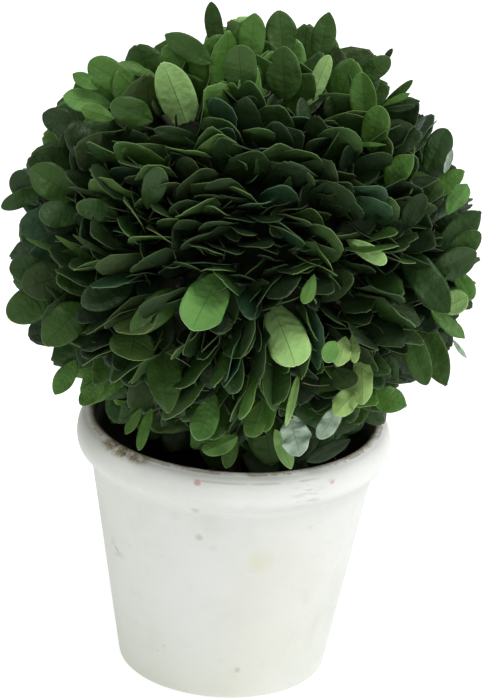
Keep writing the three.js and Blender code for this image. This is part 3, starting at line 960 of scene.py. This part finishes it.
class Painter:
    """Lays colours over each other on a surface. Each is placed by x, y, z or the distance out from
    the upright axis, which are fields in millimetres, or by a noise."""

    def __init__(self, tree, colour):
        self.tree, self.colour = tree, colour
        self.place = add_node(tree, "TexCoord", {}).outputs["Object"]
        split = add_node(tree, "SeparateXYZ", {0: self.place})
        self.x, self.y, self.z = (Field(tree, axis) * (1 / MM) for axis in split.outputs)
        self.out = (self.x * self.x + self.y * self.y).maths("SQRT")

    def noise(self, scale, detail=3.0, roughness=0.5, stretch=(1, 1, 1)):
        mapping = add_node(self.tree, "Mapping", {"Vector": self.place, "Scale": stretch})
        inputs = {"Vector": mapping.outputs[0], "Scale": scale, "Detail": detail, "Roughness": roughness}
        return Field(self.tree, add_node(self.tree, "TexNoise", inputs).outputs["Fac"])

    def near(self, point, size):
        """1 at a point, falling to 0 at a distance from it."""
        inputs = {0: self.place, 1: [c * MM for c in point]}
        node = add_node(self.tree, "VectorMath", inputs, operation="DISTANCE")
        return Field(self.tree, node.outputs["Value"]).falling(0.0, size * MM)

    def mixed(self, under, over, amount):
        """One colour over another. A colour is given by its screen values or as an output."""
        under, over = (srgb(*c) if isinstance(c, tuple) else c for c in (under, over))
        inputs = {0: amount.output, 6: under, 7: over}
        return add_node(self.tree, "Mix", inputs, data_type="RGBA").outputs[2]

    def lay(self, colour, amount):
        self.colour = self.mixed(self.colour, colour, amount)


def lime_wash_and_painted_shade(paint):
    """On white: grey-green, cream and warm grey blotches, small smudges, and greyer low down towards
    the left. Painted shade greys the left side, and darkens the wall below the band most on the left,
    fading to the right."""
    paint.lay((206, 210, 202), paint.noise(26, 5, 0.65).rising(0.42, 0.72))
    paint.lay((217, 216, 206), paint.noise(15, 3, 0.5, (1, 1, 0.6)).rising(0.5, 0.75))
    paint.lay((202, 198, 195), paint.noise(60, 5, 0.65).rising(0.56, 0.8) * 0.5)
    paint.lay((194, 196, 186), paint.noise(95, 7, 0.8, (1, 1, 1.6)).rising(0.56, 0.72) * 0.6)
    paint.lay((198, 202, 184), paint.z.falling(0, 34) * paint.x.falling(-24, 26) * 0.6)
    # painted shade on the left side
    paint.lay((204, 209, 198), paint.x.falling(-46, -20) * paint.y.falling(-10, 20) * 0.5)
    # painted shade on the wall below the band, fading to the right
    paint.lay((201, 205, 197), paint.x.falling(-40, 60) * paint.z.falling(69, 73) * 0.4)


def rim_painted_light_and_shade(paint):
    """Painted light on the front of the rim, painted shade on its left side, and soft painted shade
    on the underside of the band and in the crease below it.
    """
    # painted light on the front of the rim
    paint.lay((234, 234, 231), paint.x.rising(-34, 4) * paint.z.rising(74, 77) * 0.5)
    # painted shade on the left of the rim
    paint.lay((180, 182, 174), paint.x.falling(-47, -34) * paint.z.rising(74, 82) * 0.85)
    # painted shade under the band's bulge
    paint.lay((200, 202, 197), paint.z.rising(69.4, 71.6) * paint.z.falling(72.6, 75.4) * 0.9)


def mouth_dirt_and_painted_shade(paint):
    """Brown grime that ends unevenly on the lip, an inner wall darkened partly by dirt and partly by
    painted shade, and round the lip a frayed brown edge and a broken line."""
    uneven = paint.noise(70, 6, 0.75) * 7 - 3.5
    grime = (paint.out + uneven).falling(45.3, 46.9) * paint.noise(190, 6, 0.75).rising(0.34, 0.6)
    paint.lay((144, 122, 86), grime * paint.z.rising(82.4, 83.6) * 0.8)
    lean = (NECK_RADIUS - FOOT_RADIUS) / (POT_HEIGHT - BAND_HEIGHT)
    outer_wall = paint.z * lean + FOOT_RADIUS
    # dirt and painted shade on the inside of the pot below the lip
    paint.lay((60, 53, 43), (paint.out - outer_wall).falling(-3.0, -1.6) * paint.z.falling(76, 83.8) * 0.9)
    frayed = paint.out + uneven * 0.14
    paint.lay((100, 82, 56), frayed.falling(44.7, 45.4) * paint.z.rising(82.6, 83.4) * 0.8)
    line = frayed.at_level(46.7, 0.1, 0.5) * paint.noise(120, 4, 0.6).rising(0.44, 0.56)
    paint.lay((150, 138, 116), line * paint.z.rising(82.8, 83.4) * 0.7)


def lip_stain(paint):
    """A mottled brown stain that spreads over the lip on the left."""
    lip = paint.out.falling(47.6, 49.4) * paint.z.rising(79, 82)
    smear = paint.near((-36, -31.6, 83.4), 10).maths("MAXIMUM", paint.near((-28.5, -34.5, 83.4), 8))
    stain = smear * lip * paint.noise(240, 6, 0.8).rising(0.34, 0.62) * 2.2
    brown = paint.mixed((150, 132, 92), (86, 68, 36), paint.noise(420, 4, 0.7).rising(0.4, 0.6))
    paint.lay(brown, stain.maths("MINIMUM", 0.85))


def worn_marks(paint):
    """A fine crease along the front of the band, two reddish worn spots by it, and faint scratches."""
    span = paint.x.rising(-14, -8) * paint.x.falling(22, 30) * paint.y.falling(-30, -20)
    crease = paint.z.at_level(82.2, 0.1, 0.45) * span * paint.noise(130).rising(0.3, 0.5)
    paint.lay((182, 166, 158), crease * 0.5)
    spots = paint.near((-10.2, -48.4, 81.6), 1.6).maths("MAXIMUM", paint.near((31.1, -38.8, 80.8), 1.6))
    spots = spots * paint.noise(520).rising(0.42, 0.6) * 1.2
    paint.lay((188, 116, 112), spots.maths("MINIMUM", 0.6))
    scratches = paint.near((24, -44, 77), 9) * paint.noise(160, 4, 0.6, (1, 1, 5)).rising(0.52, 0.62)
    paint.lay((188, 182, 184), scratches * 0.6)


# The larger pits of the pot's wall, in millimetres: where, and how wide
PITS = [
    (-10.4, -44.5, 70.7, 2.2),
    (-8.8, -42.7, 60.8, 2.1),
    (5.4, -34.8, 11.6, 1.6),
    (-18, -30.5, 17, 1.3),
]


def pits(paint):
    """1 in the wall's pits: specks here and there, the larger ones, and a patch of small ones."""
    pitted = paint.noise(330, 2).rising(0.76, 0.8) * paint.noise(40, 2).rising(0.5, 0.6)
    for *point, size in PITS:
        pitted = pitted.maths("MAXIMUM", paint.near(point, size).rising(0.0, 1.0))
    patch = paint.near((-35, -21, 44.4), 6) * paint.noise(420).rising(0.5, 0.6)
    return pitted.maths("MAXIMUM", patch)


def clay_material():
    """Lime wash on fired clay with its dirt, worn marks and pits, painted shade and painted light,
    matt, and softly uneven.
    """
    material, tree, shader = node_material("whitewashed_clay", {"Specular IOR Level": 0.25})
    paint = Painter(tree, (219, 221, 217))
    lime_wash_and_painted_shade(paint)
    rim_painted_light_and_shade(paint)
    mouth_dirt_and_painted_shade(paint)
    lip_stain(paint)
    worn_marks(paint)
    pitted = pits(paint)
    paint.lay((178, 173, 162), pitted * 0.6)
    paint.lay((202, 200, 162), paint.near((10.5, -40.9, 52.6), 6) * paint.noise(160, 4, 0.7))
    rough = paint.noise(45, 4, 0.6) * 0.25 + 0.7
    set_inputs(tree, shader, {"Base Color": paint.colour, "Roughness": rough.output})
    relief = paint.noise(420, 4, 0.6) * 0.25 + paint.noise(55, 6, 0.6) - pitted * 0.6
    add_relief(tree, shader, relief.output, 0.6, 0.5 * MM)
    return material


# Camera, lights and floor


def stand_at(thing, x, y, z, place):
    """Turns an object's axes to three unit vectors and moves it to its place."""
    rows = np.eye(4)
    rows[:3] = np.stack([x, y, z, place], -1)
    thing.matrix_world = Matrix(rows.tolist())


def make_camera():
    data = bpy.data.cameras.new("camera")
    data.lens = LENS
    data.sensor_width = SENSOR
    camera = add_object("camera", data)
    x = math.cos(ROLL) * RIGHT + math.sin(ROLL) * SKYWARD
    stand_at(camera, x, np.cross(VIEWWARD, x), VIEWWARD, CAMERA_PLACE)
    bpy.context.scene.camera = camera


def make_key_light():
    data = bpy.data.lights.new("key", "AREA")
    data.shape = "DISK"
    data.size = KEY_LIGHT_SIZE
    data.energy = KEY_LIGHT_POWER
    lamp = add_object("key", data)
    back = unit(KEY_LIGHT_PLACE - AIM)
    side = unit(np.cross(UP, back))
    stand_at(lamp, side, np.cross(back, side), back, KEY_LIGHT_PLACE)


def make_stage():
    """A white floor that glows a little, a white sky and the key light."""
    mesh = bpy.data.meshes.new("floor")
    near, far = -FLOOR_HALF, FLOOR_HALF
    mesh.from_pydata([(near, near, 0), (far, near, 0), (far, far, 0), (near, far, 0)], [], [(0, 1, 2, 3)])
    inputs = {"Base Color": FLOOR_COLOUR, "Roughness": 1.0, "Specular IOR Level": 0.0}
    inputs |= {"Emission Color": WHITE, "Emission Strength": FLOOR_GLOW}
    mesh.materials.append(node_material("floor_white", inputs)[0])
    floor = add_object("floor", mesh)
    world = bpy.data.worlds.new("studio")
    world.use_nodes = True
    sky = world.node_tree.nodes["Background"]
    set_inputs(world.node_tree, sky, {"Color": WHITE, "Strength": SKY_STRENGTH})
    bpy.context.scene.world = world
    bpy.context.scene.view_settings.view_transform = "Standard"
    make_key_light()


make_camera()
make_stage()
make_leaves()
make_twigs()
make_core()
make_stem()
make_pot()
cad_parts["planting_filling"].material_slots[0].material = filling_material()
